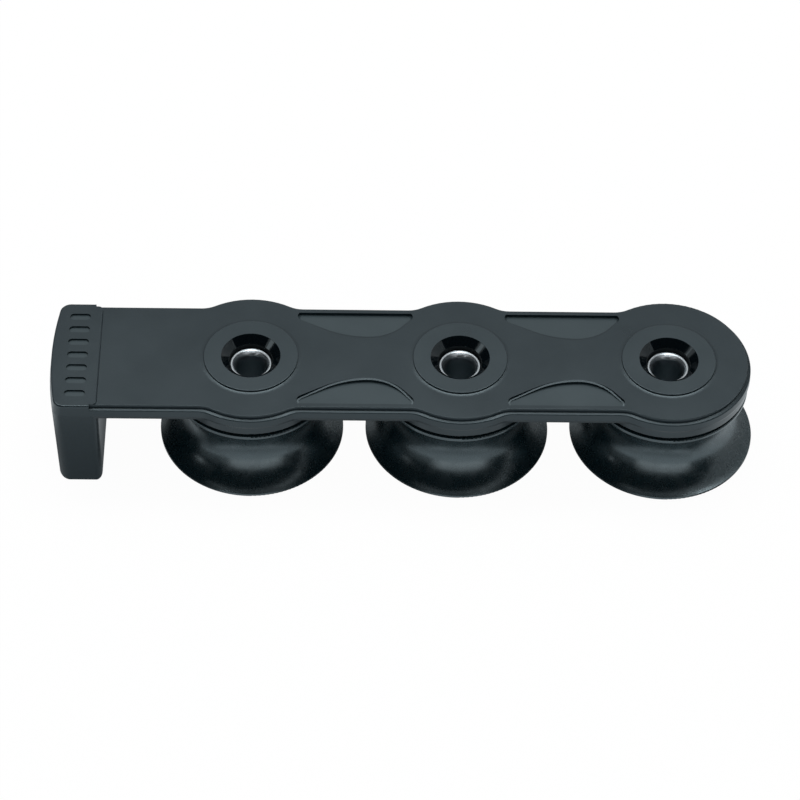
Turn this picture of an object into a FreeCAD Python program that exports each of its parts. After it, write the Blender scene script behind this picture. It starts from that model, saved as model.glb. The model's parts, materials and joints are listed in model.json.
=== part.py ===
import FreeCAD, Part
import math
import os

Vector = FreeCAD.Vector

# Lengths are in millimetres and angles in degrees.
# X runs along the row of sheaves, away from the leg. Z rises from the deck.
# The origin is on the middle hole's axis, in the deck plane.

# Row of holes
STATION_NAMES = ("left", "middle", "right")
PITCH = 56.1

# Steel sleeve that takes an M8 deck bolt: foot flange, journal and neck
SLEEVE_BORE_R = 4.25
NECK_WALL = 1.31
SHOULDER = 0.74
NECK_HEIGHT = 3.95
MOUTH_EDGE_R = 0.25
MOUTH_BELL_R = 4.4
MOUTH_BELL_ANGLE = 30.0
FOOT_R = 9.0
FOOT_THICKNESS = 0.9
FOOT_EDGE = 0.25

# Bearing bush and thrust washers
BUSH_WALL = 1.5
BUSH_INSET = 0.2
RUNNING_CLEARANCE = 0.05
LOCATING_CLEARANCE = 0.04
WASHER_CLEARANCE = 0.1
WASHER_THICKNESS = 0.5
WASHER_R = 8.8
AXIAL_PLAY = 0.1

# Sheave
HUB_HEIGHT = 21.1
HUB_WALL = 2.2
TOP_FLANGE_R = 22.0
BOTTOM_FLANGE_R = 25.0
THROAT_R = 17.0
TOP_RIM = 0.95
BOTTOM_RIM = 0.9
RIM_ROUND = 0.3
GAP_UNDER_COVER = 1.0
GAP_OVER_DECK = 1.3
GROOVE_WALL = 3.0
CORE_ROOF = 3.2
SHEAVE_RIBS = 6
SHEAVE_RIB_WIDTH = 1.8
SHEAVE_RIB_SETBACK = 1.2

# Cover: plate, boss and raised panel
BOSS_THICKNESS = 6.5
PLATE_THICKNESS = 4.4
PARTING_DROP = 3.4
LEDGE_DROP = 1.05
LEDGE_FALL = 0.3
LEDGE_WIDTH = 0.95
LAND_RISE = 0.6
LAND_R = 12.7
LAND_FOOT_R = 4.0
LAND_FOOT_RISE = 0.1
LAND_ROUND = 0.2
LOBE_R = 22.25
HALF_WIDTH = 18.75
WAIST_R = 6.5
WALL_DRAFT = 0.1
UNDER_DRAFT = 0.25
BOSS_DRAFT = 0.15
LEDGE_ROUND = 0.3
PANEL_ROUND = 0.15
BOSS_ROUND = 0.3

# Cover: countersinks
SINK_R = 7.97
SINK_HALF_ANGLE = 45.0
WELL_R = 6.0
WELL_DEPTH = 4.2

# Cover: crescent pockets beside the narrow stretches
CRESCENT_DEPTH = 0.85
CRESCENT_MARGIN = 2.35
CRESCENT_SPAN = 8.6
CRESCENT_SKEW = 3.4
CRESCENT_NEAR_R = 24.5
CRESCENT_NEAR_ANGLE = 28.8
CRESCENT_FAR_R = 12.1
CRESCENT_FAR_ANGLE = 50.0
CRESCENT_TIP_R = 1.2
CRESCENT_RIM = 0.6

# Cover: head pad and leg
LEG_DISTANCE = 39.9
LEG_THICKNESS = 13.8
LEG_BULGE_R = 98.5
LEG_OUTER_CORNER = 3.0
LEG_INNER_CORNER = 1.8
LEG_DRAFT = 0.3
LEG_OUTER_DRAFT = 0.75
LEG_INNER_DRAFT = 0.12
LEG_OUTER_TOE = 3.9
LEG_INNER_TOE = 1.7
PAD_RISE = 0.3
HEAD_DRAFT = 0.15
HEAD_OUTER_DRAFT = 0.45
HEAD_INNER_DRAFT = 0.4
HEAD_ROUND = 0.45
LEDGE_RUN = 2.4
PAD_CORNER = 1.4
LEG_WALL = 2.6
LEG_CORE_ROOF = 5.0
LEG_RIBS = 2
LEG_RIB_WIDTH = 2.0
SLOT_COUNT = 7
SLOT_PITCH = 4.6
SLOT_WIDTH = 2.2
SLOT_LENGTH = 5.6
SLOT_DEPTH = 0.5
SLOT_DISTANCE = 6.4

# Heights, built up from the deck
HUB_BOTTOM_Z = FOOT_THICKNESS + WASHER_THICKNESS + AXIAL_PLAY
HUB_TOP_Z = HUB_BOTTOM_Z + HUB_HEIGHT
BOSS_Z = HUB_TOP_Z + AXIAL_PLAY + WASHER_THICKNESS
SLEEVE_TOP_Z = BOSS_Z + NECK_HEIGHT
PANEL_Z = BOSS_Z + BOSS_THICKNESS
TOP_Z = PANEL_Z + LAND_RISE
PAD_Z = PANEL_Z + PAD_RISE
LEDGE_Z = PANEL_Z - LEDGE_DROP
LEDGE_EDGE_Z = LEDGE_Z - LEDGE_FALL
PARTING_Z = PANEL_Z - PARTING_DROP
PLATE_Z = PANEL_Z - PLATE_THICKNESS
SHEAVE_TOP_Z = BOSS_Z - GAP_UNDER_COVER

# Radii and places that follow from the sizes above
SLEEVE_NECK_R = SLEEVE_BORE_R + NECK_WALL
JOURNAL_R = SLEEVE_NECK_R + SHOULDER
WASHER_BORE_R = JOURNAL_R + WASHER_CLEARANCE
BUSH_BORE_R = JOURNAL_R + RUNNING_CLEARANCE
BUSH_R = BUSH_BORE_R + BUSH_WALL
HUB_R = BUSH_R + HUB_WALL
LEG_INNER_X = -PITCH * (len(STATION_NAMES) - 1) / 2 - LEG_DISTANCE
LEG_OUTER_X = LEG_INNER_X - LEG_THICKNESS
PANEL_INSET = WALL_DRAFT + LEDGE_WIDTH
LEDGE_END_X = LEG_INNER_X - LEDGE_RUN

# Cutting tools run past the faces that they cut by this much.
OVERRUN = 1.0


def station_x(index):
    """Distance along X of one hole's axis."""
    return (index - (len(STATION_NAMES) - 1) / 2) * PITCH


def line(start, end):
    return Part.makeLine(start, end)


def arc(start, middle, end):
    return Part.Arc(start, middle, end).toShape()


def turned(edges):
    """Solid of revolution about Z from a closed profile in the XZ plane."""
    face = Part.Face(Part.Wire(edges))
    return face.revolve(Vector(0, 0, 0), Vector(0, 0, 1), 360)


def polygon_edges(points):
    closed = points + points[:1]
    return [line(a, b) for a, b in zip(closed, closed[1:])]


def profile(pairs):
    """Points in the XZ plane from (radius, height) pairs."""
    return [Vector(r, 0, z) for r, z in pairs]


def cylinder(radius, low, high, x=0.0):
    return Part.makeCylinder(radius, high - low, Vector(x, 0, low))


def ring(inner, outer, low, high):
    return cylinder(outer, low, high).cut(cylinder(inner, low - OVERRUN, high + OVERRUN))


def edges_at_height(shape, z):
    """Edges of a shape that lie flat at one height."""
    found = []
    for edge in shape.Edges:
        box = edge.BoundBox
        if abs(box.ZMin - z) < 1e-4 and abs(box.ZMax - z) < 1e-4:
            found.append(edge)
    return found


def arc_about(centre_r, centre_z, radius, start, end):
    """Arc in the XZ plane about a centre, between two elevations in degrees."""
    points = []
    for angle in (start, (start + end) / 2, end):
        lean = math.radians(angle)
        points.append(Vector(centre_r + radius * math.cos(lean), 0, centre_z + radius * math.sin(lean)))
    return arc(*points)


def make_sleeve():
    """Tube with a foot flange, a journal, a shoulder for the cover and a bell mouth."""
    turn = math.radians(MOUTH_BELL_ANGLE)
    crest_r = SLEEVE_NECK_R - MOUTH_EDGE_R
    bell_width = MOUTH_BELL_R * (1 - math.cos(turn))
    lip_r = (crest_r - SLEEVE_BORE_R - bell_width) / math.cos(turn)
    lip_z = SLEEVE_TOP_Z - lip_r
    edge_z = SLEEVE_TOP_Z - MOUTH_EDGE_R
    bell_z = lip_z - (MOUTH_BELL_R - lip_r) * math.sin(turn)
    points = profile([
        (SLEEVE_BORE_R, 0),
        (FOOT_R - FOOT_EDGE, 0),
        (FOOT_R, FOOT_EDGE),
        (FOOT_R, FOOT_THICKNESS),
        (JOURNAL_R, FOOT_THICKNESS),
        (JOURNAL_R, BOSS_Z),
        (SLEEVE_NECK_R, BOSS_Z),
        (SLEEVE_NECK_R, edge_z),
    ])
    edges = [line(a, b) for a, b in zip(points, points[1:])]
    edges.append(arc_about(crest_r, edge_z, MOUTH_EDGE_R, 0, 90))
    edges.append(arc_about(crest_r, lip_z, lip_r, 90, 180 - MOUTH_BELL_ANGLE))
    bell_centre_r = SLEEVE_BORE_R + MOUTH_BELL_R
    edges.append(arc_about(bell_centre_r, bell_z, MOUTH_BELL_R, 180 - MOUTH_BELL_ANGLE, 180))
    edges.append(line(Vector(SLEEVE_BORE_R, 0, bell_z), points[0]))
    return turned(edges)


def make_bush():
    """Plain bearing bush, pressed in the sheave's hub."""
    return ring(BUSH_BORE_R, BUSH_R, HUB_BOTTOM_Z + BUSH_INSET, HUB_TOP_Z - BUSH_INSET)


def make_lower_washer():
    bottom = FOOT_THICKNESS
    return ring(WASHER_BORE_R, WASHER_R, bottom, bottom + WASHER_THICKNESS)


def make_upper_washer():
    return ring(WASHER_BORE_R, WASHER_R, BOSS_Z - WASHER_THICKNESS, BOSS_Z)


def groove_circle():
    """Height of the throat and radius of the groove's round section.

    The circle touches the throat radius and runs through the inner edges of
    both rims.
    """
    top = SHEAVE_TOP_Z - TOP_RIM
    bottom = GAP_OVER_DECK + BOTTOM_RIM
    upper = TOP_FLANGE_R - THROAT_R
    lower = BOTTOM_FLANGE_R - THROAT_R
    # (upper^2 + (top - z)^2) / upper = (lower^2 + (z - bottom)^2) / lower
    a = lower - upper
    b = lower * top - upper * bottom
    c = lower * (upper ** 2 + top ** 2) - upper * (lower ** 2 + bottom ** 2)
    throat_z = (b - math.sqrt(b ** 2 - a * c)) / a
    radius = (upper ** 2 + (top - throat_z) ** 2) / (2 * upper)
    return throat_z, radius


def sheave_body():
    """Hourglass body between the two rims, with its hub bored for the bush."""
    throat_z = groove_circle()[0]
    top_inner = SHEAVE_TOP_Z - TOP_RIM
    bottom_inner = GAP_OVER_DECK + BOTTOM_RIM
    turn = RIM_ROUND * (1 - math.sqrt(0.5))
    points = profile([
        (BUSH_R, HUB_BOTTOM_Z),
        (HUB_R, HUB_BOTTOM_Z),
        (HUB_R, GAP_OVER_DECK),
        (BOTTOM_FLANGE_R - RIM_ROUND, GAP_OVER_DECK),
        (BOTTOM_FLANGE_R, GAP_OVER_DECK + RIM_ROUND),
        (BOTTOM_FLANGE_R, bottom_inner),
        (TOP_FLANGE_R, top_inner),
        (TOP_FLANGE_R, SHEAVE_TOP_Z - RIM_ROUND),
        (TOP_FLANGE_R - RIM_ROUND, SHEAVE_TOP_Z),
        (HUB_R, SHEAVE_TOP_Z),
        (HUB_R, HUB_TOP_Z),
        (BUSH_R, HUB_TOP_Z),
    ])
    lower_turn = Vector(BOTTOM_FLANGE_R - turn, 0, GAP_OVER_DECK + turn)
    upper_turn = Vector(TOP_FLANGE_R - turn, 0, SHEAVE_TOP_Z - turn)
    edges = [
        line(points[0], points[1]),
        line(points[1], points[2]),
        line(points[2], points[3]),
        arc(points[3], lower_turn, points[4]),
        line(points[4], points[5]),
        arc(points[5], Vector(THROAT_R, 0, throat_z), points[6]),
        line(points[6], points[7]),
        arc(points[7], upper_turn, points[8]),
        line(points[8], points[9]),
        line(points[9], points[10]),
        line(points[10], points[11]),
        line(points[11], points[0]),
    ]
    return turned(edges)


def sheave_core():
    """Hollow under the sheave between hub and groove wall, less its ribs."""
    throat_z, radius = groove_circle()
    roof = SHEAVE_TOP_Z - CORE_ROOF
    floor = GAP_OVER_DECK - OVERRUN
    shell = radius + GROOVE_WALL
    centre = THROAT_R + radius
    narrow = centre - shell
    drop = throat_z - floor
    wide = centre - math.sqrt(shell ** 2 - drop ** 2)
    half = drop / 2
    middle = Vector(centre - math.sqrt(shell ** 2 - half ** 2), 0, throat_z - half)
    points = profile([
        (HUB_R, floor),
        (wide, floor),
        (narrow, throat_z),
        (narrow, roof),
        (HUB_R, roof),
    ])
    core = turned([
        line(points[0], points[1]),
        arc(points[1], middle, points[2]),
        line(points[2], points[3]),
        line(points[3], points[4]),
        line(points[4], points[0]),
    ])
    rib_bottom = GAP_OVER_DECK + SHEAVE_RIB_SETBACK
    for index in range(SHEAVE_RIBS):
        rib = Part.makeBox(
            BOTTOM_FLANGE_R, SHEAVE_RIB_WIDTH, SHEAVE_TOP_Z - rib_bottom,
            Vector(0, -SHEAVE_RIB_WIDTH / 2, rib_bottom))
        rib.rotate(Vector(0, 0, 0), Vector(0, 0, 1), 360 * index / SHEAVE_RIBS)
        core = core.cut(rib)
    return core


def make_sheave():
    return sheave_body().cut(sheave_core())


def plate_outline(z, inset):
    """Lobed outline of the cover at height z, drawn in all round by inset."""
    half = HALF_WIDTH - inset
    lobe = LOBE_R - inset
    waist = WAIST_R + inset
    reach = math.sqrt((lobe + waist) ** 2 - (half + waist) ** 2)
    share = lobe / (lobe + waist)
    # Angle to halfway round the waist's arc, from its centre
    lean = math.atan2(reach, half + waist) / 2
    last = len(STATION_NAMES) - 1
    root = Vector(LEDGE_END_X, -half, z)
    edges = []
    point = root
    for index in range(last + 1):
        x = station_x(index)
        waist_start = Vector(x - reach, -half, z)
        waist_middle = Vector(
            x - reach + waist * math.sin(lean), -half - waist + waist * math.cos(lean), z)
        lobe_start = Vector(x - reach * share, -(half + waist) * share, z)
        edges.append(line(point, waist_start))
        edges.append(arc(waist_start, waist_middle, lobe_start))
        if index < last:
            lobe_end = Vector(x + reach * share, lobe_start.y, z)
            waist_end = Vector(x + reach, -half, z)
            far_middle = Vector(2 * x - waist_middle.x, waist_middle.y, z)
            edges.append(arc(lobe_start, Vector(x, -lobe, z), lobe_end))
            edges.append(arc(lobe_end, far_middle, waist_end))
            point = waist_end
    mirrored = [edge.mirror(Vector(0, 0, 0), Vector(0, 1, 0)) for edge in reversed(edges)]
    x = station_x(last)
    upper_start = Vector(lobe_start.x, -lobe_start.y, z)
    end = arc(lobe_start, Vector(x + lobe, 0, z), upper_start)
    close = line(Vector(root.x, half, z), root)
    return Part.Wire(edges + [end] + mirrored + [close])


def block_outline(z, inset, outer_inset, inner_inset):
    """Outline of head and leg at height z: bulged outside, flat inside."""
    outer_corner = LEG_OUTER_CORNER
    inner_corner = LEG_INNER_CORNER
    half = HALF_WIDTH - inset
    bulge = LEG_BULGE_R - outer_inset
    centre_x = LEG_OUTER_X + LEG_BULGE_R
    inner_x = LEG_INNER_X - inner_inset
    turn = math.sqrt(0.5)
    corner_x = centre_x - math.sqrt((bulge - outer_corner) ** 2 - (half - outer_corner) ** 2)
    share = bulge / (bulge - outer_corner)
    touch_x = centre_x + (corner_x - centre_x) * share
    touch_y = (half - outer_corner) * share
    lean = (math.atan2(half - outer_corner, centre_x - corner_x) + math.pi / 2) / 2
    outer_middle_x = corner_x - outer_corner * math.cos(lean)
    outer_middle_y = half - outer_corner + outer_corner * math.sin(lean)
    inner_middle_x = inner_x - inner_corner * (1 - turn)
    inner_middle_y = half - inner_corner * (1 - turn)
    return Part.Wire([
        arc(Vector(touch_x, touch_y, z), Vector(LEG_OUTER_X + outer_inset, 0, z),
            Vector(touch_x, -touch_y, z)),
        arc(Vector(touch_x, -touch_y, z), Vector(outer_middle_x, -outer_middle_y, z),
            Vector(corner_x, -half, z)),
        line(Vector(corner_x, -half, z), Vector(inner_x - inner_corner, -half, z)),
        arc(Vector(inner_x - inner_corner, -half, z), Vector(inner_middle_x, -inner_middle_y, z),
            Vector(inner_x, -half + inner_corner, z)),
        line(Vector(inner_x, -half + inner_corner, z), Vector(inner_x, half - inner_corner, z)),
        arc(Vector(inner_x, half - inner_corner, z), Vector(inner_middle_x, inner_middle_y, z),
            Vector(inner_x - inner_corner, half, z)),
        line(Vector(inner_x - inner_corner, half, z), Vector(corner_x, half, z)),
        arc(Vector(corner_x, half, z), Vector(outer_middle_x, outer_middle_y, z),
            Vector(touch_x, touch_y, z)),
    ])


def loft(lower, upper):
    return Part.makeLoft([lower, upper], True, True)


def rounded_top(shape, z, radius):
    return shape.makeFillet(radius, edges_at_height(shape, z))


def make_plate():
    """Lobed plate with its drafted side, ledge and raised panel."""
    lower = loft(plate_outline(PLATE_Z, UNDER_DRAFT), plate_outline(PARTING_Z, 0))
    side = loft(plate_outline(PARTING_Z, 0), plate_outline(LEDGE_EDGE_Z, WALL_DRAFT))
    ledge = loft(plate_outline(LEDGE_EDGE_Z, WALL_DRAFT), plate_outline(LEDGE_Z, PANEL_INSET))
    side = rounded_top(side.fuse(ledge).removeSplitter(), LEDGE_EDGE_Z, LEDGE_ROUND)
    panel = Part.Face(plate_outline(PARTING_Z, PANEL_INSET))
    panel = panel.extrude(Vector(0, 0, PANEL_Z - PARTING_Z))
    panel = rounded_top(panel, PANEL_Z, PANEL_ROUND)
    return lower.fuse([side, panel])


def make_boss(x):
    """Round boss under one lobe, drafted towards the sheave."""
    height = PARTING_Z - BOSS_Z
    top_r = LOBE_R - WALL_DRAFT
    cone = Part.makeCone(top_r - BOSS_DRAFT, top_r, height, Vector(x, 0, BOSS_Z))
    return rounded_top(cone, BOSS_Z, BOSS_ROUND)


def make_land(x):
    """Raised disc round one hole, with a low hollow curve at its foot."""
    base = PANEL_Z - LAND_RISE
    sweep = math.acos(1 - LAND_FOOT_RISE / LAND_FOOT_R)
    foot_r = LAND_R + LAND_FOOT_R * math.sin(sweep)
    middle_r = foot_r - LAND_FOOT_R * math.sin(sweep / 2)
    middle_z = PANEL_Z + LAND_FOOT_R * (1 - math.cos(sweep / 2))
    turn = LAND_ROUND * (1 - math.sqrt(0.5))
    points = profile([
        (0, TOP_Z),
        (0, base),
        (foot_r, base),
        (foot_r, PANEL_Z),
        (LAND_R, PANEL_Z + LAND_FOOT_RISE),
        (LAND_R, TOP_Z - LAND_ROUND),
        (LAND_R - LAND_ROUND, TOP_Z),
    ])
    edges = [line(a, b) for a, b in zip(points[:3], points[1:4])]
    edges.append(arc(points[3], Vector(middle_r, 0, middle_z), points[4]))
    edges.append(line(points[4], points[5]))
    edges.append(arc(points[5], Vector(LAND_R - turn, 0, TOP_Z - turn), points[6]))
    edges.append(line(points[6], points[0]))
    land = turned(edges)
    land.translate(Vector(x, 0, 0))
    return land


def hole_tool(x):
    """Countersink, the well under it and the bore that locates the sleeve."""
    drop = (SINK_R - WELL_R) / math.tan(math.radians(SINK_HALF_ANGLE))
    well_z = TOP_Z - WELL_DEPTH
    flare = OVERRUN * math.tan(math.radians(SINK_HALF_ANGLE))
    bore_r = SLEEVE_NECK_R + LOCATING_CLEARANCE
    tool = turned(polygon_edges(profile([
        (0, BOSS_Z - OVERRUN),
        (bore_r, BOSS_Z - OVERRUN),
        (bore_r, well_z),
        (WELL_R, well_z),
        (WELL_R, TOP_Z - drop),
        (SINK_R + flare, TOP_Z + OVERRUN),
        (0, TOP_Z + OVERRUN),
    ])))
    tool.translate(Vector(x, 0, 0))
    return tool


def crescent_outline(x, side, z, grow):
    """Outline of one skewed crescent pocket at height z, let out all round by grow."""
    edge_y = HALF_WIDTH - CRESCENT_MARGIN
    apex_x = x + CRESCENT_SKEW
    tip_r = CRESCENT_TIP_R + grow
    apex = Vector(apex_x, side * (edge_y - CRESCENT_SPAN - grow), z)

    def flank(radius, angle, way):
        """Arc from the apex, its straight run, and the rounded tip."""
        turn = math.radians(angle)
        rise = radius * (1 - math.cos(turn))
        vertex_x = apex_x + way * (radius * math.sin(turn) + (CRESCENT_SPAN - rise) / math.tan(turn))
        tip_x = vertex_x - way * CRESCENT_TIP_R / math.tan(turn / 2)
        tip_y = side * (edge_y - CRESCENT_TIP_R)
        centre_y = side * (edge_y - CRESCENT_SPAN + radius)

        def on_arc(share):
            lean = turn * share
            reach = radius + grow
            return Vector(
                apex_x + way * reach * math.sin(lean), centre_y - side * reach * math.cos(lean), z)

        def on_tip(lean):
            return Vector(
                tip_x + way * tip_r * math.sin(lean), tip_y - side * tip_r * math.cos(lean), z)

        half_way = (turn + math.pi) / 2
        return on_arc(0.5), on_arc(1.0), on_tip(turn), on_tip(half_way), on_tip(math.pi)

    near_middle, near_end, near_tip, near_turn, near_corner = flank(
        CRESCENT_NEAR_R, CRESCENT_NEAR_ANGLE, -1)
    far_middle, far_end, far_tip, far_turn, far_corner = flank(
        CRESCENT_FAR_R, CRESCENT_FAR_ANGLE, 1)
    return Part.Wire([
        arc(near_corner, near_turn, near_tip),
        line(near_tip, near_end),
        arc(near_end, near_middle, apex),
        arc(apex, far_middle, far_end),
        line(far_end, far_tip),
        arc(far_tip, far_turn, far_corner),
        line(far_corner, near_corner),
    ])


def crescent_tool(x, side):
    """Crescent pocket inside a rim that slopes from panel height at the apex to the floor."""
    floor_z = PANEL_Z - CRESCENT_DEPTH
    over_z = PANEL_Z + OVERRUN
    up = Vector(0, 0, over_z - floor_z)
    pocket = Part.Face(crescent_outline(x, side, floor_z, 0)).extrude(up)
    rim = Part.Face(crescent_outline(x, side, floor_z, CRESCENT_RIM)).extrude(up)
    edge_y = HALF_WIDTH - CRESCENT_MARGIN
    apex_y = edge_y - CRESCENT_SPAN - CRESCENT_RIM
    start_x = x - PITCH / 2
    slope = Part.Face(Part.Wire(polygon_edges([
        Vector(start_x, side * apex_y, PANEL_Z),
        Vector(start_x, side * edge_y, floor_z),
        Vector(start_x, side * edge_y, over_z),
        Vector(start_x, side * apex_y, over_z),
    ])))
    slope = slope.extrude(Vector(PITCH, 0, 0))
    return pocket.fuse(rim.common(slope))


def leg_side_view():
    """Front view of head and leg, with rounded toes, drawn through the width."""
    left = LEG_OUTER_X - OVERRUN
    right = LEG_INNER_X + OVERRUN
    outer = LEG_OUTER_X + LEG_OUTER_DRAFT
    inner = LEG_INNER_X - LEG_INNER_DRAFT
    turn = 1 - math.sqrt(0.5)
    y = -HALF_WIDTH - OVERRUN
    top = TOP_Z + OVERRUN
    low_left = Vector(outer, y, LEG_OUTER_TOE)
    toe_left = Vector(outer + LEG_OUTER_TOE, y, 0)
    toe_right = Vector(inner - LEG_INNER_TOE, y, 0)
    low_right = Vector(inner, y, LEG_INNER_TOE)
    face = Part.Face(Part.Wire([
        line(Vector(left, y, top), Vector(left, y, PARTING_Z)),
        line(Vector(left, y, PARTING_Z), low_left),
        arc(low_left, Vector(outer + LEG_OUTER_TOE * turn, y, LEG_OUTER_TOE * turn), toe_left),
        line(toe_left, toe_right),
        arc(toe_right, Vector(inner - LEG_INNER_TOE * turn, y, LEG_INNER_TOE * turn), low_right),
        line(low_right, Vector(right, y, PARTING_Z)),
        line(Vector(right, y, PARTING_Z), Vector(right, y, top)),
        line(Vector(right, y, top), Vector(left, y, top)),
    ]))
    return face.extrude(Vector(0, 2 * (HALF_WIDTH + OVERRUN), 0))


def leg_core():
    """Pockets that open under the leg, parted by ribs."""
    roof = PLATE_Z - LEG_CORE_ROOF
    left = LEG_OUTER_X + LEG_OUTER_DRAFT + LEG_WALL
    width = LEG_INNER_X - LEG_INNER_DRAFT - LEG_WALL - left
    half = HALF_WIDTH - LEG_DRAFT - LEG_WALL
    bays = LEG_RIBS + 1
    bay = (2 * half - LEG_RIBS * LEG_RIB_WIDTH) / bays
    pockets = []
    for index in range(bays):
        y = -half + index * (bay + LEG_RIB_WIDTH)
        pockets.append(Part.makeBox(width, bay, roof + OVERRUN, Vector(left, y, -OVERRUN)))
    return pockets


def head_slots():
    """Row of plain shallow slots sunk in the head pad."""
    centre_x = LEG_INNER_X - SLOT_DISTANCE
    radius = SLOT_WIDTH / 2
    reach = SLOT_LENGTH / 2 - radius
    slots = []
    for index in range(SLOT_COUNT):
        y = (index - (SLOT_COUNT - 1) / 2) * SLOT_PITCH
        slot = Part.makeBox(
            2 * reach, SLOT_WIDTH, SLOT_DEPTH + OVERRUN,
            Vector(centre_x - reach, y - radius, PAD_Z - SLOT_DEPTH))
        for x in (centre_x - reach, centre_x + reach):
            end = Part.makeCylinder(
                radius, SLOT_DEPTH + OVERRUN, Vector(x, y, PAD_Z - SLOT_DEPTH))
            slot = slot.fuse(end)
        slots.append(slot.removeSplitter())
    return slots


def pad_corner_tool(side):
    """Notch at one inner corner of the head, which lets the ledge run past the pad."""
    inner_x = LEG_INNER_X - HEAD_INNER_DRAFT
    pad_y = side * (HALF_WIDTH - PANEL_INSET)
    centre = Vector(inner_x - PAD_CORNER, pad_y - side * PAD_CORNER, LEDGE_EDGE_Z)
    turn = math.sqrt(0.5) * PAD_CORNER
    start = Vector(LEDGE_END_X, pad_y, LEDGE_EDGE_Z)
    on_front = Vector(centre.x, pad_y, LEDGE_EDGE_Z)
    on_side = Vector(inner_x, centre.y, LEDGE_EDGE_Z)
    outside_y = side * (HALF_WIDTH + OVERRUN)
    outside_x = LEG_INNER_X + OVERRUN
    corners = [
        on_side,
        Vector(outside_x, centre.y, LEDGE_EDGE_Z),
        Vector(outside_x, outside_y, LEDGE_EDGE_Z),
        Vector(LEDGE_END_X, outside_y, LEDGE_EDGE_Z),
        start,
        on_front,
    ]
    edges = [line(a, b) for a, b in zip(corners, corners[1:])]
    edges.append(arc(on_front, centre + Vector(turn, side * turn, 0), on_side))
    return Part.Face(Part.Wire(edges)).extrude(Vector(0, 0, PAD_Z + OVERRUN - LEDGE_EDGE_Z))


def make_head_and_leg():
    """End block: head pad above the parting line, hollow leg below it."""
    parting = block_outline(PARTING_Z, 0, 0, 0)
    leg = loft(block_outline(0, LEG_DRAFT, LEG_OUTER_DRAFT, LEG_INNER_DRAFT), parting)
    leg = leg.common(leg_side_view())
    head = loft(
        parting, block_outline(PAD_Z, HEAD_DRAFT, HEAD_OUTER_DRAFT, HEAD_INNER_DRAFT))
    head = rounded_top(head, PAD_Z, HEAD_ROUND)
    head = head.cut([pad_corner_tool(side) for side in (-1, 1)])
    block = leg.fuse(head)
    return block.cut(leg_core() + head_slots())


def crescent_places():
    for index in range(len(STATION_NAMES) - 1):
        middle = (station_x(index) + station_x(index + 1)) / 2
        for side in (-1, 1):
            yield middle, side


def make_cover():
    """The whole one-piece cover."""
    places = [station_x(index) for index in range(len(STATION_NAMES))]
    pieces = [make_head_and_leg()]
    for x in places:
        pieces.append(make_boss(x))
        pieces.append(make_land(x))
    cover = make_plate().fuse(pieces).removeSplitter()
    tools = [hole_tool(x) for x in places]
    tools += [crescent_tool(x, side) for x, side in crescent_places()]
    return cover.cut(tools)


def single_solid(shape, name):
    solids = shape.Solids
    if len(solids) != 1:
        raise ValueError(f"{name} is {len(solids)} solids")
    return solids[0]


def save(shape, name):
    solid = single_solid(shape, name)
    if not solid.isValid():
        raise ValueError(f"{name} isn't a valid solid")
    solid.exportStep(os.path.join("parts", name + ".step"))
    print(f"{name}: {solid.Volume:.1f} mm3, {len(solid.Faces)} faces")


def main():
    os.makedirs("parts", exist_ok=True)
    save(make_cover(), "cover")
    makers = {
        "sheave": make_sheave,
        "bush": make_bush,
        "sleeve": make_sleeve,
        "upper_washer": make_upper_washer,
        "lower_washer": make_lower_washer,
    }
    for index, place in enumerate(STATION_NAMES):
        for name, make in makers.items():
            shape = make()
            shape.translate(Vector(station_x(index), 0, 0))
            save(shape, f"{name}_{place}")


main()
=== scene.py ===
import json
import math

import bpy
from mathutils import Matrix, Vector

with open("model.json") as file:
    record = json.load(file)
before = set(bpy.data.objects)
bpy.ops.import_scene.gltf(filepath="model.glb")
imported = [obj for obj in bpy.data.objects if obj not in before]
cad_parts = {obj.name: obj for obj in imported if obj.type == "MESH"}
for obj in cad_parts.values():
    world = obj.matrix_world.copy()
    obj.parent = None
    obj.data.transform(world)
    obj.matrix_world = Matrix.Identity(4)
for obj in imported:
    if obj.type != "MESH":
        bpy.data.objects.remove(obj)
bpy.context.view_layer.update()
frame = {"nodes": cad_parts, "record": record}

MM = 0.001

# Camera, at the photograph's angle
CAMERA_AZIMUTH = math.radians(-1.955)
CAMERA_ELEVATION = math.radians(48.471)
CAMERA_ROLL = math.radians(1.993)
CAMERA_DISTANCE = 843.5 * MM
CAMERA_TARGET = Vector((-15.75, 0, 12.82)) * MM
CAMERA_CLIP_START = 0.05
CAMERA_CLIP_END = 20
LENS = 139.44
SENSOR_WIDTH = 36

# Sizes that the finishes follow, as the solids have them
PITCH = 56.1 * MM
LAND_Z = 30.3 * MM
LAND_R = 12.7 * MM
SINK_R = 7.97 * MM
WELL_R = 6.0 * MM
WELL_TOP_Z = 28.33 * MM
FIRST_LAND_LEFT = -84.0 * MM
PAD_RIGHT = -98.5 * MM
POCKET_Z = 28.85 * MM
POCKET_HALF_Y = 16.5 * MM
SLOT_Z = 29.5 * MM

# Heights in a sleeve's mouth, where its bore ends, its bell widens and its lip rounds over
MOUTH_END_Z = 24.0 * MM
MOUTH_FADE = 1.0 * MM
MOUTH_EASE_LOW = 24.9 * MM
MOUTH_EASE_HIGH = 25.7 * MM
LIP_LOW = 26.6 * MM
LIP_HIGH = 26.85 * MM

# How sharply a finish ends, and how far it reaches past its form
SHARP = 0.01 * MM
LAND_EDGE = 0.05 * MM
LAND_TOP_MARGIN = 0.05 * MM
SINK_TOP_MARGIN = 0.03 * MM
SINK_SPARE = 0.02 * MM
WELL_TOP_EDGE = 0.02 * MM
WELL_SPARE = 0.05 * MM
POCKET_BAND = 0.1 * MM
POCKET_EDGE = 0.02 * MM
SLOT_BAND = 0.06 * MM

# Sheen of the black mouldings, which is a little blue
COOL_SHEEN = (0.80, 0.94, 1.0, 1)

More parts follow.
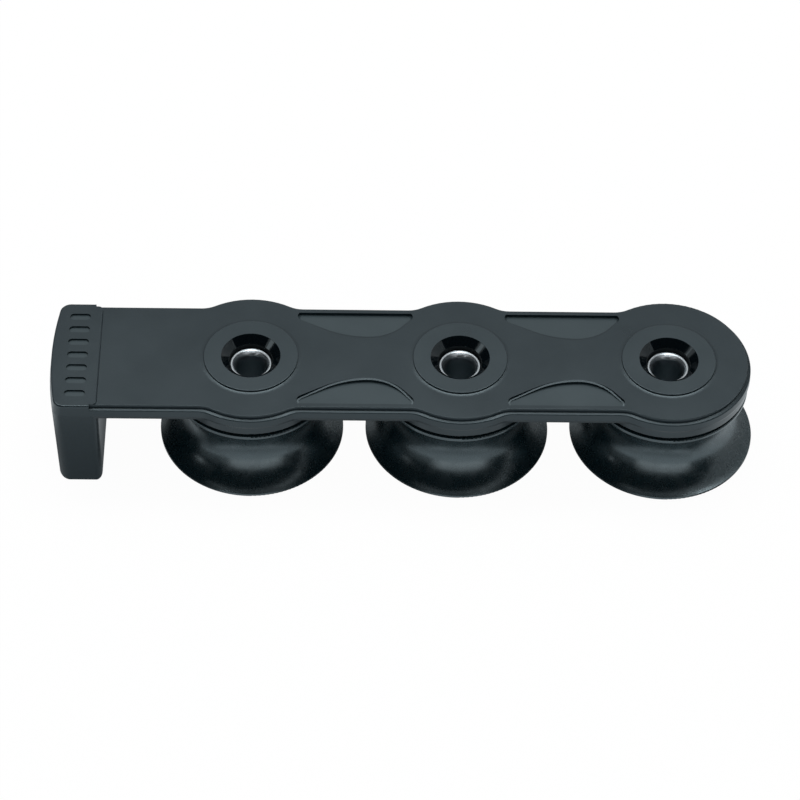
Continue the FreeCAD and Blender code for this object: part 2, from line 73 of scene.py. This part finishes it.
# Middle part of a noise's values, which a roughness is spread over
NOISE_RANGE = (0.3, 0.7)

# Cover
COVER_DARK = ((0.0010, 0.0054, 0.0084, 1), (0.0022, 0.0070, 0.0102, 1))
# Painted sheen: a paler colour that lands, pocket floors and slot floors get
COVER_PAINTED_SHEEN = (0.0185, 0.0275, 0.0315, 1)
# Painted shade: a darker colour in the countersinks
COVER_SINK_PAINTED_SHADE = (0.0012, 0.0026, 0.0036, 1)
COVER_ROUGH = (0.27, 0.33)
COVER_IOR = 1.55
COVER_CLOUD_SCALE = 60.0
COVER_GRAIN_SCALE = 2600.0
COVER_BUMP = (0.25, 0.03 * MM)
# Share of the painted sheen that the lands get
LAND_SHARE = 0.4
SINK_ROUGH_SHARE = 0.3
SINK_GRAIN_SHARE = 0.05
WELL_ROUGH = 0.7

# Sheaves
SHEAVE_COLOUR = (0.0028, 0.0095, 0.0125, 1)
SHEAVE_DUST = (0.010, 0.018, 0.022, 1)
SHEAVE_ROUGH = (0.21, 0.32)
SHEAVE_IOR = 1.88
SHEAVE_CLOUD_SCALE = 400.0
SHEAVE_CLOUD_RANGE = (0.35, 0.65)
SHEAVE_SPECK_SCALE = 1500.0
SHEAVE_DUST_RANGE = (0.6, 0.75)
SHEAVE_BUMP = (0.03, 0.05 * MM)

# Sleeves
STEEL_BRIGHT = ((0.50, 0.54, 0.57, 1), (0.58, 0.62, 0.65, 1))
# Painted shade: a darker colour on the lip's crest
STEEL_LIP_PAINTED_SHADE = (0.40, 0.43, 0.45, 1)
# Painted shade: a darker colour down the bore
STEEL_BORE_PAINTED_SHADE = (0.42, 0.48, 0.51, 1)
STEEL_ROUGH = (0.28, 0.34)
STEEL_BORE_ROUGH = 0.34
STEEL_CLOUD_SCALE = 400.0
STEEL_MARKS_SCALE = 300.0
STEEL_MARKS_STRETCH = (1.0, 1.0, 30.0)
STEEL_BUMP = (0.15, 0.01 * MM)
MOUTH_EASE_X = 0.75
MOUTH_EASE_Y = 0.2

# Bushes and washers
BEARING_PALE = ((0.56, 0.55, 0.5, 1), (0.62, 0.61, 0.56, 1))
BEARING_ROUGH = (0.35, 0.45)
BEARING_IOR = 1.48
BEARING_CLOUD_SCALE = 300.0

# Studio
STUDIO_CENTRE = Vector((-0.015, 0, 0.015))
LAMP_COLOUR = (0.93, 0.985, 1.0)
WORLD_LEVEL = 0.55
WORLD_REFLECTED = 0.22
FLOOR_HALF = 3.0
FLOOR_DROP = 0.02 * MM
FLOOR_GREY = 0.88
FLOOR_WHITE_SEEN = 0.97
FLOOR_WHITE_REFLECTED = 0.75
COOL_FLOOR = (0.88, 0.96, 1.0, 1)

# Painted shadow on the floor close round the object, which only its reflections show
PAINTED_SHADE_LEFT = -128.0 * MM
PAINTED_SHADE_RIGHT = 85.0 * MM
PAINTED_SHADE_FRONT = -46.0 * MM
PAINTED_SHADE_BACK = -4.0 * MM
PAINTED_SHADE_FADE = 12.0 * MM
PAINTED_SHADE_GREY = 0.12
PAINTED_FLOOR_PALE_GREY = 0.98

# Part of the painted shadow under the sheaves
UNDER_LEFT = -80.0 * MM
UNDER_RIGHT = 72.0 * MM
UNDER_BACK = 60.0 * MM

# Painted light on the floor in front of the painted shadow, the slope of grey that leads to it, and a
# painted bright line in it
GLOW_START = -22.0 * MM
GLOW_END = -45.0 * MM
RIM_GLOW_Y = -28.0 * MM
RIM_GLOW_HALF = 2.0 * MM
RIM_GLOW_FADE = 2.0 * MM

# Painted shade on the floor round the leg, a grey patch that is paler far in front and darker behind
PATCH_X = -106.0 * MM
PATCH_HALF = 12.0 * MM
PATCH_FADE = 10.0 * MM
PATCH_GREY = 0.46
PATCH_FAR_GREY = 0.95
PATCH_NEAR_Y = -38.0 * MM
PATCH_FAR_Y = -50.0 * MM
PATCH_BACK_Y = -12.0 * MM
PATCH_BACK_FADE = 5.0 * MM
PATCH_BACK_SHARE = 0.55

# Each soft box: name, azimuth, elevation, distance, width, height, brightness of its face
LAMPS = (
    ("overhead_box", 0, 108, 0.95, 0.9, 0.3, 7.2),
    ("left_box", -84, 27.5, 1.2, 0.34, 0.14, 1.25),
    ("strip_left", -12, 6, 1.1, 0.74, 0.3, 0.8),
    ("strip_right", 24, 6, 1.1, 0.72, 0.3, 0.85),
    ("strip_end", -54, 9, 1.15, 0.9, 0.36, 0.24),
    ("low_fill", 4, 20, 1.15, 1.3, 0.2, 0.5),
    ("high_fill", 4, 30, 1.15, 1.2, 0.22, 0.2),
)

# Each curved card: name, range of azimuths, range of elevations, distance, grey
FLAGS = (
    ("front_flag", (-68, 72), (25, 88), 1.4, 0.01),
    ("left_flag", (-95, -68), (33, 88), 1.4, 0.01),
    ("low_flag", (-170, -34), (-1, 15), 1.3, 0.01),
    ("low_side_flag", (-170, -68), (15, 23), 1.3, 0.01),
    ("left_gap_flag", (-68, -34), (15, 25), 1.3, 0.01),
    ("right_gap_flag", (44, 74), (-1, 25), 1.3, 0.05),
    ("right_flag", (75, 150), (0, 60), 1.4, 0.65),
)
FLAG_STEPS = 16


def make_camera():
    back = Vector((
        math.sin(CAMERA_AZIMUTH) * math.cos(CAMERA_ELEVATION),
        -math.cos(CAMERA_AZIMUTH) * math.cos(CAMERA_ELEVATION),
        math.sin(CAMERA_ELEVATION)))
    level = (-back).cross(Vector((0, 0, 1))).normalized()
    upright = level.cross(-back)
    right = level * math.cos(CAMERA_ROLL) + upright * math.sin(CAMERA_ROLL)
    up = upright * math.cos(CAMERA_ROLL) - level * math.sin(CAMERA_ROLL)
    data = bpy.data.cameras.new("camera")
    data.sensor_width = SENSOR_WIDTH
    data.lens = LENS
    data.clip_start = CAMERA_CLIP_START
    data.clip_end = CAMERA_CLIP_END
    camera = bpy.data.objects.new("camera", data)
    bpy.context.scene.collection.objects.link(camera)
    turn = Matrix((right, up, back)).transposed().to_4x4()
    camera.matrix_world = Matrix.Translation(CAMERA_TARGET + back * CAMERA_DISTANCE) @ turn
    bpy.context.scene.camera = camera


def add(tree, kind, inputs=None, **settings):
    """One shader node. An input that is a socket is linked, and any other is a value."""
    node = tree.nodes.new(kind)
    for name, value in settings.items():
        setattr(node, name, value)
    for name, value in (inputs or {}).items():
        if isinstance(value, bpy.types.NodeSocket):
            tree.links.new(value, node.inputs[name])
        else:
            node.inputs[name].default_value = value
    return node


def math_node(tree, operation, *values):
    return add(tree, "ShaderNodeMath", dict(enumerate(values)), operation=operation).outputs[0]


def both(tree, share, *others):
    """Product of shares, which is 1 where each of them is."""
    for other in others:
        share = math_node(tree, "MULTIPLY", share, other)
    return share


def either(tree, share, *others):
    """Largest of some shares."""
    for other in others:
        share = math_node(tree, "MAXIMUM", share, other)
    return share


def blank_material(name):
    material = bpy.data.materials.new(name)
    material.use_nodes = True
    material.node_tree.nodes.clear()
    return material, material.node_tree


def noise(tree, place, scale, detail=3.0, roughness=0.55):
    node = add(tree, "ShaderNodeTexNoise", {
        "Vector": place, "Scale": scale, "Detail": detail, "Roughness": roughness})
    return node.outputs["Fac"]


def spread(tree, value, low, high, to_low, to_high):
    """Value mapped from one range to another, and clamped."""
    node = add(tree, "ShaderNodeMapRange", {
        "Value": value, "From Min": low, "From Max": high, "To Min": to_low, "To Max": to_high})
    return node.outputs["Result"]


def mix_colour(tree, share, first, second):
    node = add(tree, "ShaderNodeMix", data_type="RGBA")
    for socket, value in zip((node.inputs[0], node.inputs[6], node.inputs[7]), (share, first, second)):
        if isinstance(value, bpy.types.NodeSocket):
            tree.links.new(value, socket)
        else:
            socket.default_value = value
    return node.outputs[2]


def bump(tree, height, strength, distance, under=None):
    """Normal with a relief on it, over another normal where one is given."""
    inputs = {"Height": height, "Strength": strength, "Distance": distance}
    if under:
        inputs["Normal"] = under
    return add(tree, "ShaderNodeBump", inputs).outputs["Normal"]


def finish_material(tree, inputs):
    shader = add(tree, "ShaderNodeBsdfPrincipled", inputs)
    add(tree, "ShaderNodeOutputMaterial", {"Surface": shader.outputs[0]})


def inside(tree, value, limit, edge):
    """1 where value is under limit, 0 where it is over, with an edge of that width."""
    return spread(tree, value, limit - edge, limit + edge, 1.0, 0.0)


def outside(tree, value, limit, edge):
    """0 where value is under limit, 1 where it is over, with an edge of that width."""
    return math_node(tree, "SUBTRACT", 1.0, inside(tree, value, limit, edge))


def apart(tree, value, middle):
    """Distance of a value from the middle, on either side."""
    return math_node(tree, "ABSOLUTE", math_node(tree, "SUBTRACT", value, middle))


def beyond(tree, value, low, high):
    """How far a value is past a range, and negative inside it."""
    return math_node(tree, "SUBTRACT", apart(tree, value, (low + high) / 2), (high - low) / 2)


def object_place(tree):
    """Point on the object, and its X, Y and Z."""
    place = add(tree, "ShaderNodeTexCoord").outputs["Object"]
    xyz = add(tree, "ShaderNodeSeparateXYZ", {"Vector": place})
    return place, xyz.outputs["X"], xyz.outputs["Y"], xyz.outputs["Z"]


def hole_radius(tree, x, y):
    """Distance from the axis of the nearest hole in the row."""
    shifted = math_node(tree, "ADD", x, PITCH / 2)
    wrapped = math_node(tree, "WRAP", shifted, PITCH, 0.0)
    local_x = math_node(tree, "SUBTRACT", wrapped, PITCH / 2)
    flat = add(tree, "ShaderNodeCombineXYZ", {"X": local_x, "Y": y}).outputs[0]
    return add(tree, "ShaderNodeVectorMath", {0: flat}, operation="LENGTH").outputs["Value"]


def cover_material():
    """Satin black moulding with glossy countersinks. The countersinks are painted darker, a painted
    shade, and the lands, pocket floors and slot floors are painted lighter, a painted sheen.
    """
    material, tree = blank_material("moulded_cover")
    place, x, y, z = object_place(tree)
    radius = hole_radius(tree, x, y)
    over_row = outside(tree, x, FIRST_LAND_LEFT, SHARP)
    land = both(
        tree, inside(tree, radius, LAND_R, LAND_EDGE),
        outside(tree, z, LAND_Z - LAND_TOP_MARGIN, SHARP), over_row)
    sink = both(
        tree, inside(tree, radius, SINK_R + SINK_SPARE, SHARP),
        inside(tree, z, LAND_Z - SINK_TOP_MARGIN, SHARP), over_row)
    well = both(
        tree, inside(tree, radius, WELL_R + WELL_SPARE, SHARP),
        inside(tree, z, WELL_TOP_Z, WELL_TOP_EDGE), over_row)
    pocket = both(
        tree, inside(tree, apart(tree, z, POCKET_Z), POCKET_BAND, POCKET_EDGE),
        inside(tree, math_node(tree, "ABSOLUTE", y), POCKET_HALF_Y, SHARP), over_row)
    slot = both(
        tree, inside(tree, apart(tree, z, SLOT_Z), SLOT_BAND, SHARP),
        inside(tree, x, PAD_RIGHT, SHARP))
    # Painted sheen: lands, pocket floors and slot floors are painted lighter
    painted_sheen_share = either(tree, both(tree, land, LAND_SHARE), pocket, slot)
    cloud = noise(tree, place, COVER_CLOUD_SCALE)
    grain = noise(tree, place, COVER_GRAIN_SCALE, 2.0)
    dark = mix_colour(tree, cloud, *COVER_DARK)
    light = mix_colour(tree, painted_sheen_share, dark, COVER_PAINTED_SHEEN)
    rough = spread(tree, cloud, *NOISE_RANGE, *COVER_ROUGH)
    rough = both(tree, rough, spread(tree, sink, 0.0, 1.0, 1.0, SINK_ROUGH_SHARE))
    texture = both(tree, grain, spread(tree, sink, 0.0, 1.0, 1.0, SINK_GRAIN_SHARE))
    # The countersinks are painted darker, a painted shade
    finish_material(tree, {
        "Base Color": mix_colour(tree, sink, light, COVER_SINK_PAINTED_SHADE),
        "Roughness": either(tree, rough, both(tree, well, WELL_ROUGH)),
        "IOR": COVER_IOR,
        "Specular Tint": COOL_SHEEN,
        "Normal": bump(tree, texture, *COVER_BUMP),
    })
    return material


def sheave_material():
    """Near-black moulding, a little glossy, with fine specks and faint running marks."""
    material, tree = blank_material("sheave_plastic")
    place = object_place(tree)[0]
    cloud = noise(tree, place, SHEAVE_CLOUD_SCALE, 4.0, 0.65)
    speck = noise(tree, place, SHEAVE_SPECK_SCALE, 4.0, 0.7)
    dust = spread(tree, speck, *SHEAVE_DUST_RANGE, 0.0, 1.0)
    finish_material(tree, {
        "Base Color": mix_colour(tree, dust, SHEAVE_COLOUR, SHEAVE_DUST),
        "Roughness": spread(tree, cloud, *SHEAVE_CLOUD_RANGE, *SHEAVE_ROUGH),
        "IOR": SHEAVE_IOR,
        "Specular Tint": COOL_SHEEN,
        "Normal": bump(tree, speck, *SHEAVE_BUMP),
    })
    return material


def eased_normal(tree, height):
    """Normal that leans upwards in a sleeve's mouth, as on a more widely rounded one."""
    along = spread(tree, height, MOUTH_EASE_LOW, MOUTH_EASE_HIGH, 1.0, MOUTH_EASE_X)
    across = spread(tree, height, MOUTH_EASE_LOW, MOUTH_EASE_HIGH, 1.0, MOUTH_EASE_Y)
    scale = add(tree, "ShaderNodeCombineXYZ", {"X": along, "Y": across, "Z": 1.0}).outputs[0]
    normal = add(tree, "ShaderNodeNewGeometry").outputs["Normal"]
    leaned = add(tree, "ShaderNodeVectorMath", {0: normal, 1: scale}, operation="MULTIPLY").outputs[0]
    return add(tree, "ShaderNodeVectorMath", {0: leaned}, operation="NORMALIZE").outputs[0]


def steel_material():
    """Polished stainless steel with fine turning marks. Its lip is painted darker, and its bore is
    dull and painted darker, both painted shade.
    """
    material, tree = blank_material("polished_steel")
    place, _, _, height = object_place(tree)
    bore = inside(tree, height, MOUTH_END_Z, MOUTH_FADE)
    lip = spread(tree, height, LIP_LOW, LIP_HIGH, 0.0, 1.0)
    stretched = add(tree, "ShaderNodeMapping", {"Vector": place, "Scale": STEEL_MARKS_STRETCH})
    marks = noise(tree, stretched.outputs[0], STEEL_MARKS_SCALE, 4.0, 0.6)
    cloud = noise(tree, place, STEEL_CLOUD_SCALE)
    colour = mix_colour(tree, cloud, *STEEL_BRIGHT)
    # The lip's crest is painted darker, a painted shade
    colour = mix_colour(tree, lip, colour, STEEL_LIP_PAINTED_SHADE)
    rough = spread(tree, marks, *NOISE_RANGE, *STEEL_ROUGH)
    # The bore is painted darker, a painted shade
    finish_material(tree, {
        "Base Color": mix_colour(tree, bore, colour, STEEL_BORE_PAINTED_SHADE),
        "Metallic": 1.0,
        "Roughness": either(tree, rough, both(tree, bore, STEEL_BORE_ROUGH)),
        "Normal": bump(tree, marks, *STEEL_BUMP, eased_normal(tree, height)),
    })
    return material


def bearing_material():
    """Off-white bearing plastic."""
    material, tree = blank_material("bearing_plastic")
    cloud = noise(tree, object_place(tree)[0], BEARING_CLOUD_SCALE)
    finish_material(tree, {
        "Base Color": mix_colour(tree, cloud, *BEARING_PALE),
        "Roughness": spread(tree, cloud, *NOISE_RANGE, *BEARING_ROUGH),
        "IOR": BEARING_IOR,
    })
    return material


def dress_nodes():
    """Each piece gets its finish, by the slot that the record names for it."""
    finishes = {
        "cover_plastic": cover_material(),
        "sheave_plastic": sheave_material(),
        "stainless": steel_material(),
        "bearing_plastic": bearing_material(),
    }
    for row in frame["record"]["subparts"]:
        node = frame["nodes"][row["node"]]
        node.data.materials.clear()
        node.data.materials.append(finishes[row["material_slot"]])


def seen_or_reflected(tree, seen, reflected):
    """Share for camera rays, and for rays that metal, gloss and glass send."""
    path = add(tree, "ShaderNodeLightPath")
    mirrored = either(tree, path.outputs["Is Glossy Ray"], path.outputs["Is Transmission Ray"])
    direct = both(tree, path.outputs["Is Camera Ray"], seen)
    return either(tree, direct, both(tree, mirrored, reflected))


def painted_floor_light_and_shade(tree, x, y):
    """How bright the floor looks in reflections: painted shadow round the object, pale further out,
    with painted light in front of it.
    """
    in_front = either(
        tree, beyond(tree, x, PAINTED_SHADE_LEFT, PAINTED_SHADE_RIGHT), beyond(tree, y, PAINTED_SHADE_FRONT, PAINTED_SHADE_BACK))
    under = either(
        tree, beyond(tree, x, UNDER_LEFT, UNDER_RIGHT), beyond(tree, y, PAINTED_SHADE_FRONT, UNDER_BACK))
    past = math_node(tree, "MINIMUM", in_front, under)
    painted_light_and_shade = spread(tree, past, -PAINTED_SHADE_FADE, 0.0, PAINTED_SHADE_GREY, PAINTED_FLOOR_PALE_GREY)
    # Painted light: brighter floor in front, and a painted bright line
    glow = spread(tree, y, GLOW_END, GLOW_START, PAINTED_FLOOR_PALE_GREY, PAINTED_SHADE_GREY)
    rim_glow = spread(
        tree, apart(tree, y, RIM_GLOW_Y), RIM_GLOW_HALF, RIM_GLOW_HALF + RIM_GLOW_FADE,
        PAINTED_FLOOR_PALE_GREY, 0.0)
    # Painted shade round the leg
    patch = both(
        tree, spread(tree, y, PATCH_FAR_Y, PATCH_NEAR_Y, PATCH_FAR_GREY, PATCH_GREY),
        spread(tree, y, PATCH_BACK_Y - PATCH_BACK_FADE, PATCH_BACK_Y, 1.0, PATCH_BACK_SHARE))
    by_leg = spread(
        tree, apart(tree, x, PATCH_X), PATCH_HALF, PATCH_HALF + PATCH_FADE, 1.0, 0.0)
    return spread(tree, by_leg, 0.0, 1.0, either(tree, painted_light_and_shade, glow, rim_glow), patch)


def make_floor():
    """Pale floor that shows white, and keeps the object's shadow. In reflections it shows a painted
    shadow round the object and painted light in front of it.
    """
    mesh = bpy.data.meshes.new("floor")
    corners = [(-1, -1), (1, -1), (1, 1), (-1, 1)]
    mesh.from_pydata([(FLOOR_HALF * a, FLOOR_HALF * b, 0) for a, b in corners], [], [(0, 1, 2, 3)])
    floor = bpy.data.objects.new("floor", mesh)
    bpy.context.scene.collection.objects.link(floor)
    floor.location.z = -FLOOR_DROP
    material, tree = blank_material("floor")
    _, x, y, _ = object_place(tree)
    # Reflections see a painted shadow round the object and painted light in front of it
    painted_light_and_shade = painted_floor_light_and_shade(tree, x, y)
    reflected = add(tree, "ShaderNodeLightPath").outputs["Is Glossy Ray"]
    grey = spread(tree, reflected, 0.0, 1.0, FLOOR_GREY, painted_light_and_shade)
    colour = add(tree, "ShaderNodeCombineColor", {"Red": grey, "Green": grey, "Blue": grey})
    paint = add(tree, "ShaderNodeBsdfDiffuse", {"Color": colour.outputs[0]})
    level = spread(tree, reflected, 0.0, 1.0, 1.0, painted_light_and_shade)
    tint = mix_colour(tree, reflected, (1, 1, 1, 1), COOL_FLOOR)
    white = add(tree, "ShaderNodeEmission", {"Color": tint, "Strength": level})
    share = seen_or_reflected(tree, FLOOR_WHITE_SEEN, FLOOR_WHITE_REFLECTED)
    mixed = add(tree, "ShaderNodeMixShader", {0: share, 1: paint.outputs[0], 2: white.outputs[0]})
    add(tree, "ShaderNodeOutputMaterial", {"Surface": mixed.outputs[0]})
    mesh.materials.append(material)


def make_world():
    """White to look at, softer in reflections, and plain soft light elsewhere."""
    world = bpy.data.worlds.new("studio")
    bpy.context.scene.world = world
    world.use_nodes = True
    tree = world.node_tree
    tree.nodes.clear()
    share = seen_or_reflected(tree, 1.0, WORLD_REFLECTED)
    strength = spread(tree, share, 0.0, 1.0, WORLD_LEVEL, 1.0)
    light = add(tree, "ShaderNodeBackground", {"Color": (1, 1, 1, 1), "Strength": strength})
    add(tree, "ShaderNodeOutputWorld", {"Surface": light.outputs[0]})


def direction(azimuth, elevation):
    """Azimuth in degrees from the front towards +X, elevation from the floor up and over."""
    turn, rise = math.radians(azimuth), math.radians(elevation)
    return Vector((
        math.sin(turn) * math.cos(rise), -math.cos(turn) * math.cos(rise), math.sin(rise)))


def soft_box(name, azimuth, elevation, distance, width, height, radiance):
    """Rectangular lamp that faces the object. Its power follows from its face's brightness."""
    data = bpy.data.lights.new(name, "AREA")
    data.shape = "RECTANGLE"
    data.size = width
    data.size_y = height
    data.energy = radiance * math.pi * width * height
    data.color = LAMP_COLOUR
    lamp = bpy.data.objects.new(name, data)
    bpy.context.scene.collection.objects.link(lamp)
    lamp.location = STUDIO_CENTRE + direction(azimuth, elevation) * distance
    lamp.rotation_mode = "QUATERNION"
    lamp.rotation_quaternion = (STUDIO_CENTRE - lamp.location).to_track_quat("-Z", "Y")
    lamp.visible_camera = False


def flag(name, azimuths, elevations, radius, grey):
    """Curved card that only reflections see, as a photographer hangs round the object."""
    points = []
    for row in range(FLAG_STEPS + 1):
        elevation = elevations[0] + (elevations[1] - elevations[0]) * row / FLAG_STEPS
        for column in range(FLAG_STEPS + 1):
            azimuth = azimuths[0] + (azimuths[1] - azimuths[0]) * column / FLAG_STEPS
            points.append(STUDIO_CENTRE + direction(azimuth, elevation) * radius)
    faces = []
    for row in range(FLAG_STEPS):
        for column in range(FLAG_STEPS):
            corner = row * (FLAG_STEPS + 1) + column
            above = corner + FLAG_STEPS + 1
            faces.append((corner, corner + 1, above + 1, above))
    mesh = bpy.data.meshes.new(name)
    mesh.from_pydata(points, [], faces)
    card = bpy.data.objects.new(name, mesh)
    bpy.context.scene.collection.objects.link(card)
    material, tree = blank_material(name)
    paint = add(tree, "ShaderNodeBsdfDiffuse", {"Color": (grey, grey, grey, 1)})
    add(tree, "ShaderNodeOutputMaterial", {"Surface": paint.outputs[0]})
    mesh.materials.append(material)
    card.visible_camera = False
    card.visible_diffuse = False
    card.visible_shadow = False


def make_lights():
    for lamp in LAMPS:
        soft_box(*lamp)
    for card in FLAGS:
        flag(*card)


make_camera()
dress_nodes()
make_floor()
make_world()
make_lights()
bpy.context.scene.view_settings.view_transform = "Standard"
